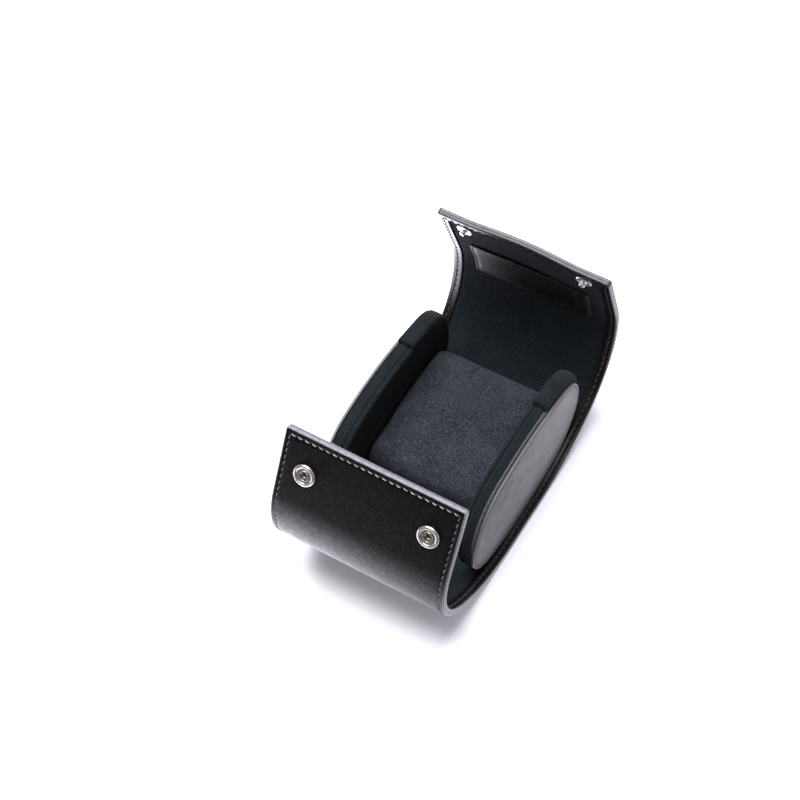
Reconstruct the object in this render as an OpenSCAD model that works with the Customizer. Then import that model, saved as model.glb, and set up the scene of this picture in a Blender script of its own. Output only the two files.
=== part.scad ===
// Travel case for one watch: a curved leather strip with a front flap and a lid,
// two upright padded cheeks, a lift-out cushion and a pair of snap fasteners.
// X is the width, -Y the front flap, +Y the lid, +Z up. The base stands on z = 0.

/* [Leather strip] */
// Width of the strip across the case
strip_w = 84; // [76:1:104]
// Radius of the corners at the two free ends
corner_r = 1.5; // [1:0.5:6]
// Thickness of the outer leather
leather_t = 1.6; // [1.2:0.1:2.2]
// Thickness of the microsuede lining
lining_t = 1.2; // [0.8:0.1:1.8]
// Thickness of the inner leather border
border_t = 1.5; // [1:0.1:2.2]
// Width of the inner border along the sides
border_side = 5; // [3:0.5:8]
// Width of the inner border across the two free ends
border_end = 4; // [3:0.5:6]
// Glue line between two layers
glue_gap = 0.1; // [0.05:0.05:0.2]
// Gap between two pieces of the strip that bend against each other
bend_gap = 0.3; // [0.2:0.05:0.5]

/* [Front flap] */
// Flat half of the base in front of the middle line
flap_flat = 18; // [14:0.5:20]
// Radius of the flap's first bend
flap_radius_1 = 82; // [70:1:100]
// Length of the flap's first bend
flap_bend_1 = 58; // [50:1:70]
// Radius of the flap's second bend
flap_radius_2 = 36; // [30:1:44]
// Length of the flap's second bend
flap_bend_2 = 46; // [38:1:56]
// Straight length at the flap's free end
flap_straight = 33; // [28:0.5:48]
// First fold, measured along the outside from the end of the flat
flap_fold_1 = 5; // [3:0.5:9]
// Second fold
flap_fold_2 = 31; // [26:0.5:35]
// Third fold
flap_fold_3 = 53; // [48:0.5:57]

/* [Lid] */
// Flat half of the base behind the middle line
lid_flat = 11; // [9:0.5:13]
// Radius of the lid's first bend
lid_radius_1 = 76; // [66:1:92]
// Length of the lid's first bend
lid_bend_1 = 55; // [50:1:66]
// Radius of the lid's second bend
lid_radius_2 = 46; // [38:1:56]
// Length of the lid's second bend
lid_bend_2 = 58; // [50:1:68]
// Straight length at the lid's free end
lid_straight = 37.4; // [32:0.2:46]
// First fold, measured along the outside from the end of the flat
lid_fold_1 = 21.5; // [16:0.5:26]
// Second fold
lid_fold_2 = 47.5; // [42:0.5:52]
// Third fold
lid_fold_3 = 97.5; // [90:0.5:98]

/* [Cheeks] */
// Length of a cheek from front to back
cheek_l = 100; // [84:1:120]
// Height of a cheek
cheek_h = 59; // [50:1:71]
// Radius of a cheek's two round ends
cheek_end_r = 27; // [22:0.5:28]
// Thickness of a cheek with its leather
cheek_t = 8.6; // [7:0.1:12]
// Distance from the strip's side edge to a cheek's outer face
cheek_inset = 3.9; // [3:0.1:6]
// Cheek centre ahead of the strip's middle line
cheek_ahead = 1.5; // [0:0.1:3]
// Clearance between a cheek and the strip that it stands on
seat_gap = 0.3; // [0.2:0.05:0.4]
// Thickness of the leather panel on a cheek's outer face
panel_t = 1.2; // [0.8:0.1:1.6]
// Thickness of the microsuede wrapped round a cheek's core
wrap_t = 1.2; // [0.8:0.1:2]
// How far the wrapped rim lies inside the leather panel's edge
rim_recess = 1; // [0.5:0.1:1.6]
// How far the padded rear rim stands above the leather panel's edge
pad_rise = 1.3; // [0.8:0.1:1.3]
// Step where the padded rear rim begins, behind the cheek's centre
pad_start = 13.4; // [13.4:0.1:18]
// Lower end of the padded rear rim, below the cheek's centre
pad_drop = 12; // [6:0.5:16]

/* [Cradle and cushion] */
// Thickness of the board that joins the cheeks
board_t = 1.8; // [1.2:0.1:2.4]
// Thickness of the microsuede over the board
board_cover_t = 1; // [0.6:0.1:1.4]
// Length of the board
board_l = 58; // [40:1:62]
// Running gap round the cushion
cushion_gap = 0.3; // [0.2:0.05:0.6]
// Cushion's front end, ahead of the cheek's centre
cushion_front = 26.5; // [22:0.5:32]
// Cushion's back end, behind the cheek's centre
cushion_back = 35; // [28:0.5:38]
// Height of the cushion's top at its ends, above the cheek's foot
cushion_top = 32.5; // [26:0.5:36]
// Extra height of the cushion's crown
cushion_crown = 1.8; // [1:0.1:3]
// Radius of the cushion's front top edge
cushion_front_r = 9; // [6:0.5:11]
// Radius of the cushion's back top edge
cushion_back_r = 5; // [3:0.5:9]
// Radius of the cushion's lower edges
cushion_foot_r = 6; // [4:0.5:9]
// Thickness of the cushion's cover
cushion_cover_t = 1.2; // [0.8:0.1:2]

/* [Snap fasteners] */
// Distance of the sockets from the flap's free end
socket_from_end = 18.7; // [16:0.1:21]
// Distance of the studs from the lid's free end
stud_from_end = 8; // [8:0.1:10]
// Distance of the snaps from the middle of the strip
snap_x = 29.2; // [24:0.1:30]
// Radius of a socket
socket_r = 5.1; // [4.6:0.1:6]
// Radius of the socket's hole
socket_hole_r = 1.9; // [1.8:0.05:2.3]
// Wall of the socket's barrel
barrel_wall = 0.35; // [0.3:0.05:0.6]
// Height of the socket's rolled rim
socket_h = 1; // [0.8:0.1:1.2]
// Radius of the hidden eyelet behind a socket
eyelet_r = 4.2; // [3.6:0.1:5]
// Radius of a stud's flange
stud_r = 3.8; // [3.4:0.1:4.2]
// Radius of a stud's head
stud_head_r = 1.5; // [1.3:0.05:1.5]
// Height of a stud's tip above the lining
stud_h = 2.9; // [2.6:0.1:3]
// Radius of the domed cap outside the lid
cap_r = 4.6; // [4:0.1:5.5]
// Height of the domed cap
cap_h = 1.5; // [1.2:0.1:2]

/* [Label patch] */
// Distance of the patch from the lid's free end
patch_from_end = 24.4; // [20:0.1:26]
// Length of the patch along the lid
patch_l = 27; // [18:0.5:27.5]
// Distance from the patch's sides to the border
patch_inset = 7.5; // [4:0.5:14]
// Thickness of the patch
patch_t = 1; // [0.8:0.1:1.2]
// Radius of the patch's corners
patch_r = 2; // [1:0.5:4]

/* [Hidden] */

$fn = 48;
degree = 180 / PI;
// length of one facet along a bend, and angle of one facet on a small round
facet_l = 2.5;
facet_a = 9;
same = 0.001;
spare = 5;

// one side of the strip: flat, radius and length of both bends, straight
FLAP = [flap_flat, flap_radius_1, flap_bend_1, flap_radius_2, flap_bend_2, flap_straight];
LID = [lid_flat, lid_radius_1, lid_bend_1, lid_radius_2, lid_bend_2, lid_straight];
flap_end = flap_bend_1 + flap_bend_2 + flap_straight;
lid_end = lid_bend_1 + lid_bend_2 + lid_straight;

// layers of the strip, as distances inward from its outer face
lining_foot = leather_t + glue_gap;
lining_face = lining_foot + lining_t;
border_face = lining_foot + border_t;
strip_x = strip_w / 2;
lining_x = strip_x - border_side;

// cheeks
cheek_out = strip_x - cheek_inset;
cheek_in = cheek_out - cheek_t;
panel_in = cheek_out - panel_t;
wrap_out = panel_in - glue_gap;
crown_c = cheek_l / 2 - cheek_end_r;
crown_d = cheek_h / 2 - cheek_end_r;
crown_h = (crown_c * crown_c - crown_d * crown_d) / (2 * crown_d);
crown_r = cheek_h / 2 + crown_h;
crown_a = atan2(crown_c, crown_h);
cheek_y = -cheek_ahead;
cheek_z = border_face + seat_gap + cheek_h / 2 + cheek_lift();
foot_z = cheek_z - cheek_h / 2;
floor_t = board_t + glue_gap + board_cover_t;

// the origin lies under the middle of the open case
y_shift = (reach(FLAP) - reach(LID)) / 2;

// distance from the middle line to the farthest point of a side
function reach(p) = p[0] + (p[1] - p[3]) * sin(bend_1(p)) + p[3];
function bend_1(p) = p[2] / p[1] * degree;
function bend_2(p) = p[4] / p[3] * degree;

// tilt of a side at the distance s from the end of its flat
function tilt(p, s) =
  s < 0 ? 0
  : s < p[2] ? s / p[1] * degree
  : s < p[2] + p[4] ? bend_1(p) + (s - p[2]) / p[3] * degree
  : bend_1(p) + bend_2(p);

// point [y, z] at the distance s along a side and o inward from its outer face
function outer_point(p, s) =
  s < 0 ? [p[0] + s, 0]
  : s < p[2] ? [p[0] + p[1] * sin(tilt(p, s)), p[1] * (1 - cos(tilt(p, s)))]
  : s < p[2] + p[4] ? second_centre(p) + p[3] * [sin(tilt(p, s)), -cos(tilt(p, s))]
  : second_centre(p) + p[3] * [sin(tilt(p, s)), -cos(tilt(p, s))]
    + (s - p[2] - p[4]) * [cos(tilt(p, s)), sin(tilt(p, s))];
function second_centre(p) =
  [p[0] + (p[1] - p[3]) * sin(bend_1(p)), p[1] - (p[1] - p[3]) * cos(bend_1(p))];
function side_point(p, s, o) = outer_point(p, s) + o * [-sin(tilt(p, s)), cos(tilt(p, s))];

// stations along a side, closer on its bends
function steps(a, b) =
  b - a < same ? [] : [for (i = [0:ceil((b - a) / facet_l)]) a + (b - a) * i / ceil((b - a) / facet_l)];
function part_steps(a, b, lo, hi) = steps(max(a, lo), min(b, hi));
function no_doubles(v) = [for (i = [0:len(v) - 1]) if (i == 0 || v[i] - v[max(i - 1, 0)] > same) v[i]];
function stations(p, a, b) = no_doubles(concat(
  [a],
  part_steps(a, b, 0, p[2]),
  part_steps(a, b, p[2], p[2] + p[4]),
  [b]
));
function side_line(p, a, b, o) = [for (s = stations(p, a, b)) side_point(p, s, o)];
function backwards(v) = [for (i = [len(v) - 1:-1:0]) v[i]];
function mirrored(v) = [for (q = v) [-q[0], q[1]]];

// outline of a cheek, grown by g: crown, rear end, foot, front end
function arc(c, r, a, b) =
  [for (i = [0:ceil(abs(b - a) / facet_a * 2)]) c + r * [sin(a + (b - a) * i / ceil(abs(b - a) / facet_a * 2)),
    cos(a + (b - a) * i / ceil(abs(b - a) / facet_a * 2))]];
function crown(g, up) =
  [for (i = [-9:9]) [cheek_y, cheek_z] + up * [(crown_r + g) * sin(i * crown_a / 10), (crown_r + g) * cos(i * crown_a / 10) - crown_h]];
function oval(g) = concat(
  crown(g, 1),
  arc([cheek_y + crown_c, cheek_z], cheek_end_r + g, crown_a, 180 - crown_a),
  crown(g, -1),
  arc([cheek_y - crown_c, cheek_z], cheek_end_r + g, 180 + crown_a, 360 - crown_a)
);

// how far a cheek rises so that its lower outline clears the strip's inner face all along
function low_end(dir) = [for (i = [1:9]) [
    cheek_y + dir * (crown_c + cheek_end_r * sin(crown_a + (90 - crown_a) * i / 9)),
    cheek_h / 2 - cheek_end_r * cos(crown_a + (90 - crown_a) * i / 9)
  ]];
function low_crown() = [for (i = [-10:10]) [
    cheek_y + crown_r * sin(i * crown_a / 10),
    crown_r * (1 - cos(i * crown_a / 10))
  ]];
function inner_height(p, d) =
  d < 0 ? border_face
  : d < (p[1] - border_face) * sin(bend_1(p)) ? p[1] - sqrt(pow(p[1] - border_face, 2) - pow(d, 2))
  : second_centre(p)[1] - sqrt(pow(p[3] - border_face, 2) - pow(d + p[0] - second_centre(p)[0], 2));
function strip_height(y) = y > 0 ? inner_height(LID, y - lid_flat) : inner_height(FLAP, -y - flap_flat);
function cheek_lift() =
  max([for (q = concat(low_end(-1), low_crown(), low_end(1))) strip_height(q[0]) - border_face - q[1]]);

// outline of the cushion, inset by g; its foot follows the cradle's floor
cushion_y1 = cheek_y - cushion_front;
cushion_y2 = cheek_y + cushion_back;
cushion_z1 = foot_z + cushion_top;
front_top_c = [cushion_y1 + cushion_front_r, cushion_z1 - cushion_front_r];
back_top_c = [cushion_y2 - cushion_back_r, cushion_z1 - cushion_back_r];
floor_c = [cheek_y, cheek_z + crown_h];
foot_r = crown_r - floor_t - cushion_gap;
foot_a1 = asin((cushion_front - cushion_foot_r) / (foot_r - cushion_foot_r));
foot_a2 = asin((cushion_back - cushion_foot_r) / (foot_r - cushion_foot_r));
function floor_point(r, a) = floor_c + r * [sin(a), -cos(a)];
function crown_line(g) =
  [for (i = [1:11]) [
    front_top_c[0] + (back_top_c[0] - front_top_c[0]) * i / 12,
    cushion_z1 - g + cushion_crown * sin(15 * i)
  ]];
function foot_curve(g) =
  [for (i = [11:-1:1]) floor_point(foot_r - g, -foot_a1 + (foot_a1 + foot_a2) * i / 12)];
function cushion_line(g) = concat(
  arc(front_top_c, cushion_front_r - g, -90, 0),
  crown_line(g),
  arc(back_top_c, cushion_back_r - g, 0, 90),
  arc(floor_point(foot_r - cushion_foot_r, foot_a2), cushion_foot_r - g, 90, 180 - foot_a2),
  foot_curve(g),
  arc(floor_point(foot_r - cushion_foot_r, -foot_a1), cushion_foot_r - g, 180 + foot_a1, 270)
);

// turns a [y, z] outline into a solid from x1 to x2
module across(outline, x1, x2) {
  translate([x1, 0, 0])
    rotate([90, 0, 90])
      linear_extrude(height = x2 - x1)
        polygon(outline);
}

// puts what is built about the strip's middle line into the part's frame
module centred() {
  translate([0, y_shift, 0])
    children();
}

// the flap is laid out like the lid and mirrored to the front
module flap_side() {
  centred()
    mirror([0, 1, 0])
      children();
}

// seats children on a side: x across, y towards the free end, z inward
module on_side(p, s, o, x) {
  q = side_point(p, s, o);
  translate([x, q[0], q[1]])
    rotate([tilt(p, s), 0, 0])
      children();
}

// a layer of a side between two distances, from inward distance o1 to o2
module layer(p, s1, s2, o1, o2, x1, x2) {
  across(concat(side_line(p, s1, s2, o1), backwards(side_line(p, s1, s2, o2))), x1, x2);
}

// a layer of the base, which runs over both flats to the first folds
module base_layer(o1, o2, x1, x2) {
  s1 = flap_fold_1 - bend_gap / 2;
  s2 = lid_fold_1 - bend_gap / 2;
  across(
    concat(
      backwards(mirrored(side_line(FLAP, 0, s1, o1))),
      side_line(LID, 0, s2, o1),
      backwards(side_line(LID, 0, s2, o2)),
      mirrored(side_line(FLAP, 0, s1, o2))
    ),
    x1, x2
  );
}

// cuts away what lies outside a round corner at the distance s
module corner_cut(p, s, x, r, dir) {
  for (side = [-1, 1]) {
    on_side(p, s, 0, side * (x - r))
      translate([0, -dir * r, -spare])
        linear_extrude(height = 3 * spare)
          difference() {
            translate([side < 0 ? -r - spare : 0, dir < 0 ? -r - spare : 0])
              square(r + spare);
            circle(r = r);
          }
  }
}

// the leather or lining of a side between two folds
module fold_layer(p, s1, s2, o1, o2, x) {
  layer(p, s1 + bend_gap / 2, s2 - bend_gap / 2, o1, o2, -x, x);
}

// the two side strips of the inner border between two folds
module fold_border(p, s1, s2) {
  for (x = [-strip_x, lining_x + glue_gap]) {
    layer(p, s1 + bend_gap / 2, s2 - bend_gap / 2, lining_foot, border_face, x, x + border_side - glue_gap);
  }
}

// the outer leather of a side's free end, with round corners and holes for its snaps
module end_leather(p, s1, end, snap_s, hole_r) {
  difference() {
    layer(p, s1 + bend_gap / 2, end, 0, leather_t, -strip_x, strip_x);
    corner_cut(p, end, strip_x, corner_r, 1);
    for (x = [-snap_x, snap_x]) {
      on_side(p, snap_s, 0, x)
        cylinder(r = hole_r, h = 4 * leather_t, center = true);
    }
  }
}

// the lining of a side's free end; the cut-out goes from depth d1 to d2
module end_lining(p, s1, end, snap_s, hole_r, d1, d2) {
  difference() {
    layer(p, s1 + bend_gap / 2, end - border_end - glue_gap, lining_foot, lining_face, -lining_x, lining_x);
    for (x = [-snap_x, snap_x]) {
      on_side(p, snap_s, d1, x)
        cylinder(r = hole_r, h = d2 - d1);
    }
  }
}

// the inner border of a side's free end: two side strips joined by the end strip
module end_border(p, s1, end) {
  difference() {
    layer(p, s1 + bend_gap / 2, end, lining_foot, border_face, -strip_x, strip_x);
    layer(p, s1 - spare, end - border_end, 0, border_face + spare, -lining_x - glue_gap, lining_x + glue_gap);
    corner_cut(p, end, strip_x, corner_r, 1);
  }
}

socket_s = flap_end - socket_from_end;
stud_s = lid_end - stud_from_end;
barrel_r = socket_hole_r + barrel_wall;
fit_gap = 0.05;
barrel_hole_r = barrel_r + fit_gap;
// hidden eyelet: flange thickness, post radius and how far its tip stays below the leather's face
eyelet_t = 0.5;
eyelet_post_r = 0.9;
eyelet_post_depth = 1.1;
stem_r = 1.1;
stem_hole_r = stem_r + fit_gap;
patch_x = lining_x - patch_inset;

// snap socket, z outward from the leather's outer face: rolled rim, ring, plateau, barrel
module socket() {
  rotate_extrude()
    polygon([
      [socket_hole_r, -leather_t + fit_gap],
      [barrel_r, -leather_t + fit_gap],
      [barrel_r, 0],
      [socket_r - 0.3, 0],
      [socket_r, 0.3],
      [socket_r, socket_h - 0.3],
      [socket_r - 0.25, socket_h],
      [socket_r - 0.65, socket_h],
      [socket_r - 1, socket_h - 0.4],
      [socket_hole_r + 1.2, socket_h - 0.5],
      [socket_hole_r + 1, socket_h - 0.1],
      [socket_hole_r + 0.2, socket_h - 0.1],
      [socket_hole_r, socket_h - 0.25]
    ]);
}

// hidden eyelet, z outward from the lining's foot
module eyelet() {
  rotate_extrude()
    polygon([
      [0, -eyelet_t],
      [eyelet_r, -eyelet_t],
      [eyelet_r, 0],
      [eyelet_post_r, 0],
      [eyelet_post_r, lining_foot - eyelet_post_depth - 0.2],
      [eyelet_post_r - 0.2, lining_foot - eyelet_post_depth],
      [0, lining_foot - eyelet_post_depth]
    ]);
}

// stud, z inward from the lining's face: stem, flange with a bead, neck and head
module stud() {
  rotate_extrude()
    polygon([
      [0, -lining_face + fit_gap],
      [stem_r, -lining_face + fit_gap],
      [stem_r, 0],
      [stud_r - 0.2, 0],
      [stud_r, 0.2],
      [stud_r, 0.5],
      [stud_r - 0.2, 0.7],
      [stud_r - 0.8, 0.7],
      [stud_r - 1.1, 0.5],
      [stud_head_r, 0.5],
      [stud_head_r - 0.3, 0.9],
      [stud_head_r - 0.3, stud_h - 1.5],
      [stud_head_r, stud_h - 1.1],
      [stud_head_r, stud_h - 0.6],
      [stud_head_r - 0.5, stud_h],
      [0, stud_h]
    ]);
}

// domed cap, z outward from the leather's outer face
module cap() {
  dome_r = (cap_r * cap_r + cap_h * cap_h) / (2 * cap_h);
  dome_a = asin(cap_r / dome_r);
  rotate_extrude()
    polygon(concat([[0, 0]], [for (i = [8:-1:0]) [
      dome_r * sin(dome_a * i / 8),
      dome_r * cos(dome_a * i / 8) - dome_r + cap_h
    ]]));
}

module base_leather() {
  color("#2b2628")
    centred()
      base_layer(0, leather_t, -strip_x, strip_x);
}

module base_lining() {
  color("#1b1e2a")
    centred()
      base_layer(lining_foot, lining_face, -lining_x, lining_x);
}

module base_border() {
  color("#2b2628")
    centred()
      for (x = [-strip_x, lining_x + glue_gap]) {
        base_layer(lining_foot, border_face, x, x + border_side - glue_gap);
      }
}

module flap_lower_leather() {
  color("#2b2628")
    flap_side()
      fold_layer(FLAP, flap_fold_1, flap_fold_2, 0, leather_t, strip_x);
}

module flap_lower_lining() {
  color("#1b1e2a")
    flap_side()
      fold_layer(FLAP, flap_fold_1, flap_fold_2, lining_foot, lining_face, lining_x);
}

module flap_lower_border() {
  color("#2b2628")
    flap_side()
      fold_border(FLAP, flap_fold_1, flap_fold_2);
}

module flap_middle_leather() {
  color("#2b2628")
    flap_side()
      fold_layer(FLAP, flap_fold_2, flap_fold_3, 0, leather_t, strip_x);
}

module flap_middle_lining() {
  color("#1b1e2a")
    flap_side()
      fold_layer(FLAP, flap_fold_2, flap_fold_3, lining_foot, lining_face, lining_x);
}

module flap_middle_border() {
  color("#2b2628")
    flap_side()
      fold_border(FLAP, flap_fold_2, flap_fold_3);
}

module flap_upper_leather() {
  color("#2b2628")
    flap_side()
      end_leather(FLAP, flap_fold_3, flap_end, socket_s, barrel_hole_r);
}

module flap_upper_lining() {
  color("#1b1e2a")
    flap_side()
      end_lining(FLAP, flap_fold_3, flap_end, socket_s, eyelet_r + fit_gap, leather_t, lining_foot + eyelet_t + fit_gap);
}

module flap_upper_border() {
  color("#2b2628")
    flap_side()
      end_border(FLAP, flap_fold_3, flap_end);
}

module lid_lower_leather() {
  color("#2b2628")
    centred()
      fold_layer(LID, lid_fold_1, lid_fold_2, 0, leather_t, strip_x);
}

module lid_lower_lining() {
  color("#1b1e2a")
    centred()
      fold_layer(LID, lid_fold_1, lid_fold_2, lining_foot, lining_face, lining_x);
}

module lid_lower_border() {
  color("#2b2628")
    centred()
      fold_border(LID, lid_fold_1, lid_fold_2);
}

module lid_middle_leather() {
  color("#2b2628")
    centred()
      fold_layer(LID, lid_fold_2, lid_fold_3, 0, leather_t, strip_x);
}

module lid_middle_lining() {
  color("#1b1e2a")
    centred()
      fold_layer(LID, lid_fold_2, lid_fold_3, lining_foot, lining_face, lining_x);
}

module lid_middle_border() {
  color("#2b2628")
    centred()
      fold_border(LID, lid_fold_2, lid_fold_3);
}

module lid_upper_leather() {
  color("#2b2628")
    centred()
      end_leather(LID, lid_fold_3, lid_end, stud_s, stem_hole_r);
}

module lid_upper_lining() {
  color("#1b1e2a")
    centred()
      end_lining(LID, lid_fold_3, lid_end, stud_s, stem_hole_r, leather_t, lining_face + spare);
}

module lid_upper_border() {
  color("#2b2628")
    centred()
      end_border(LID, lid_fold_3, lid_end);
}

module left_socket() {
  color("#d6d8da")
    flap_side()
      on_side(FLAP, socket_s, -fit_gap, -snap_x)
        mirror([0, 0, 1])
          socket();
}

module right_socket() {
  color("#d6d8da")
    flap_side()
      on_side(FLAP, socket_s, -fit_gap, snap_x)
        mirror([0, 0, 1])
          socket();
}

module socket_eyelets() {
  color("#a9abae")
    flap_side()
      for (x = [-snap_x, snap_x]) {
        on_side(FLAP, socket_s, lining_foot, x)
          mirror([0, 0, 1])
            eyelet();
      }
}

module left_stud() {
  color("#d6d8da")
    centred()
      on_side(LID, stud_s, lining_face + fit_gap, -snap_x)
        stud();
}

module right_stud() {
  color("#d6d8da")
    centred()
      on_side(LID, stud_s, lining_face + fit_gap, snap_x)
        stud();
}

module stud_caps() {
  color("#d6d8da")
    centred()
      for (x = [-snap_x, snap_x]) {
        on_side(LID, stud_s, -fit_gap, x)
          mirror([0, 0, 1])
            cap();
      }
}

module label_patch() {
  s2 = lid_end - patch_from_end;
  s1 = s2 - patch_l;
  color("#2b2628")
    centred()
      difference() {
        layer(LID, s1, s2, lining_face + fit_gap, lining_face + fit_gap + patch_t, -patch_x, patch_x);
        corner_cut(LID, s2, patch_x, patch_r, 1);
        corner_cut(LID, s1, patch_x, patch_r, -1);
      }
}

// padding inside a cheek; side is -1 for the left and 1 for the right
module cheek_core(side) {
  x1 = cheek_in + wrap_t + glue_gap;
  color("#55565c")
    centred()
      mirror([side < 0 ? 1 : 0, 0, 0])
        across(oval(-rim_recess - wrap_t - glue_gap), x1, wrap_out);
}

// microsuede round a cheek's rim and over its inner face, open towards the leather panel
module cheek_wrap(side) {
  low = foot_z + cheek_h / 4;
  color("#1b1e2a")
    centred()
      mirror([side < 0 ? 1 : 0, 0, 0])
        difference() {
          union() {
            across(oval(-rim_recess), cheek_in, wrap_out);
            intersection() {
              across(oval(0), cheek_in, wrap_out);
              translate([cheek_in - spare, cheek_y - cheek_l / 2, foot_z - spare])
                cube([cheek_t + 2 * spare, cheek_l, low - foot_z + spare]);
            }
          }
          across(oval(-rim_recess - wrap_t), cheek_in + wrap_t, wrap_out + spare);
        }
}

// padded rear part of a cheek's rim, which begins with a step behind the flap's closed end
module cheek_rim_pad(side) {
  color("#1b1e2a")
    centred()
      mirror([side < 0 ? 1 : 0, 0, 0])
        difference() {
          intersection() {
            across(oval(pad_rise), cheek_in, wrap_out);
            translate([cheek_in - spare, cheek_y + pad_start, cheek_z - pad_drop])
              cube([cheek_t + 2 * spare, cheek_l, cheek_h]);
          }
          across(oval(glue_gap - rim_recess), cheek_in - spare, wrap_out + spare);
        }
}

// leather panel on a cheek's outer face
module cheek_panel(side) {
  color("#6f6870")
    centred()
      mirror([side < 0 ? 1 : 0, 0, 0])
        across(oval(0), panel_in, cheek_out);
}

module left_cheek_core() {
  cheek_core(-1);
}

module left_cheek_wrap() {
  cheek_wrap(-1);
}

module left_cheek_rim_pad() {
  cheek_rim_pad(-1);
}

module left_cheek_panel() {
  cheek_panel(-1);
}

module right_cheek_core() {
  cheek_core(1);
}

module right_cheek_wrap() {
  cheek_wrap(1);
}

module right_cheek_rim_pad() {
  cheek_rim_pad(1);
}

module right_cheek_panel() {
  cheek_panel(1);
}

// a curved plate between the cheeks, from height g1 to g2 above the line of their feet
module floor_plate(g1, g2) {
  x = cheek_in - glue_gap;
  centred()
    intersection() {
      difference() {
        across(oval(-g1), -x, x);
        across(oval(-g2), -x - spare, x + spare);
      }
      translate([-x - spare, cheek_y - board_l / 2, foot_z - spare])
        cube([2 * (x + spare), board_l, cheek_h / 2]);
    }
}

module cradle_board() {
  color("#55565c")
    floor_plate(0, board_t);
}

module cradle_cover() {
  color("#1b1e2a")
    floor_plate(board_t + glue_gap, floor_t);
}

cushion_x = cheek_in - cushion_gap;
core_inset = cushion_cover_t + glue_gap;

module cushion_cover() {
  color("#232838")
    centred()
      difference() {
        across(cushion_line(0), -cushion_x, cushion_x);
        across(cushion_line(cushion_cover_t), cushion_cover_t - cushion_x, cushion_x - cushion_cover_t);
      }
}

module cushion_core() {
  color("#55565c")
    centred()
      across(cushion_line(core_inset), core_inset - cushion_x, cushion_x - core_inset);
}

base_leather();
base_lining();
base_border();
flap_lower_leather();
flap_lower_lining();
flap_lower_border();
flap_middle_leather();
flap_middle_lining();
flap_middle_border();
flap_upper_leather();
flap_upper_lining();
flap_upper_border();
lid_lower_leather();
lid_lower_lining();
lid_lower_border();
lid_middle_leather();
lid_middle_lining();
lid_middle_border();
lid_upper_leather();
lid_upper_lining();
lid_upper_border();
left_socket();
right_socket();
socket_eyelets();
left_stud();
right_stud();
stud_caps();
label_patch();
left_cheek_core();
left_cheek_wrap();
left_cheek_rim_pad();
left_cheek_panel();
right_cheek_core();
right_cheek_wrap();
right_cheek_rim_pad();
right_cheek_panel();
cradle_board();
cradle_cover();
cushion_cover();
cushion_core();
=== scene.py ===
# A travel case for one watch: a curved leather strip with a front flap and a lid,
# two padded cheeks with a lift-out cushion between them, and a pair of snap fasteners.
from collections import Counter
from math import asin, atan2, copysign, cos, degrees, exp, hypot, pi, radians, sin, sqrt

import bmesh
import bpy
import numpy as np
from mathutils import Matrix, Vector


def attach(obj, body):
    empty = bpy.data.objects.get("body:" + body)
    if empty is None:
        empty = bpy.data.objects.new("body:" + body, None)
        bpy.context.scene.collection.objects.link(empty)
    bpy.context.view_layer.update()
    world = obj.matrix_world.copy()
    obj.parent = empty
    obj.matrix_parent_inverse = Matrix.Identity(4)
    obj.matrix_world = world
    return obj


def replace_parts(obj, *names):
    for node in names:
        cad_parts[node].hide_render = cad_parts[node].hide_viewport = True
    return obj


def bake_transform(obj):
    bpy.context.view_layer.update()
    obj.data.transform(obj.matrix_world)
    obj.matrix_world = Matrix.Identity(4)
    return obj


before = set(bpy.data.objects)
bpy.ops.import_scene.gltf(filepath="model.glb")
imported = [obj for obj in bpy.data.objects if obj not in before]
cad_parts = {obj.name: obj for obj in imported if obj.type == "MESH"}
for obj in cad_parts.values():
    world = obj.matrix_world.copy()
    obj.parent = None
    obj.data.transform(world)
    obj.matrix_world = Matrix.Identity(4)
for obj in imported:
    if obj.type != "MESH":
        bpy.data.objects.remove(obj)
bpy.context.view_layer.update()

# ---------------------------------------------------------------- outer leather
# One strip of smooth calf leather makes the flap, the base and the lid. It is cut flat,
# its two ends are square with barely rounded corners, and its edges are rounded and painted.
# It takes its bends when it is laid round the cheeks; the stretches where it folds between the bodies are cut out but
# not made to fold.
strip_half = 42.0
leather_thick = 1.6
edge_round, back_round = 0.75, 0.2
corner_round = 1.5
flap_tip, lid_tip = -155.0, 161.4
# each end is flat for a length, then has a bend's radius and length, twice
flap_bends = (18.0, 82.0, 58.0, 36.0, 46.0)
lid_bends = (11.0, 76.0, 55.0, 46.0, 58.0)
level_behind = 3.513
lid_camber = 1.2
side_row, end_row = 2.5, 3.0
stitch_pitch = 3.27
snap_across, socket_along = 29.2, flap_tip + 18.7
bore_radius = 2.35


def on_strip(flat):
    """Places on the flat strip (across, along, inward, in mm) as places on the bent case, in metres."""
    across, along, inward = np.asarray(flat, float).T
    rise = np.clip((along - 100) / (lid_tip - 100), 0, 1)
    bow = np.clip(1 - (across / 29) ** 2, 0, 1) ** 2
    inward = inward - lid_camber * bow * rise**2 * (3 - 2 * rise)
    placed = np.empty((len(across), 3))
    placed[:, 0] = across
    for toward, (level, first, first_length, second, second_length) in ((-1, flap_bends), (1, lid_bends)):
        mine = along * toward >= 0
        past = np.abs(along[mine]) - level
        one = np.clip(past, 0, first_length) / first
        both = one + np.clip(past - first_length, 0, second_length) / second
        rest = np.maximum(past - first_length - second_length, 0)
        out = level + np.minimum(past, 0) + first * np.sin(one) + second * (np.sin(both) - np.sin(one))
        up = first * (1 - np.cos(one)) + second * (np.cos(one) - np.cos(both))
        out += rest * np.cos(both) - inward[mine] * np.sin(both)
        up += rest * np.sin(both) + inward[mine] * np.cos(both)
        placed[mine, 1] = toward * out + level_behind
        placed[mine, 2] = up
    return placed / 1000


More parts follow.
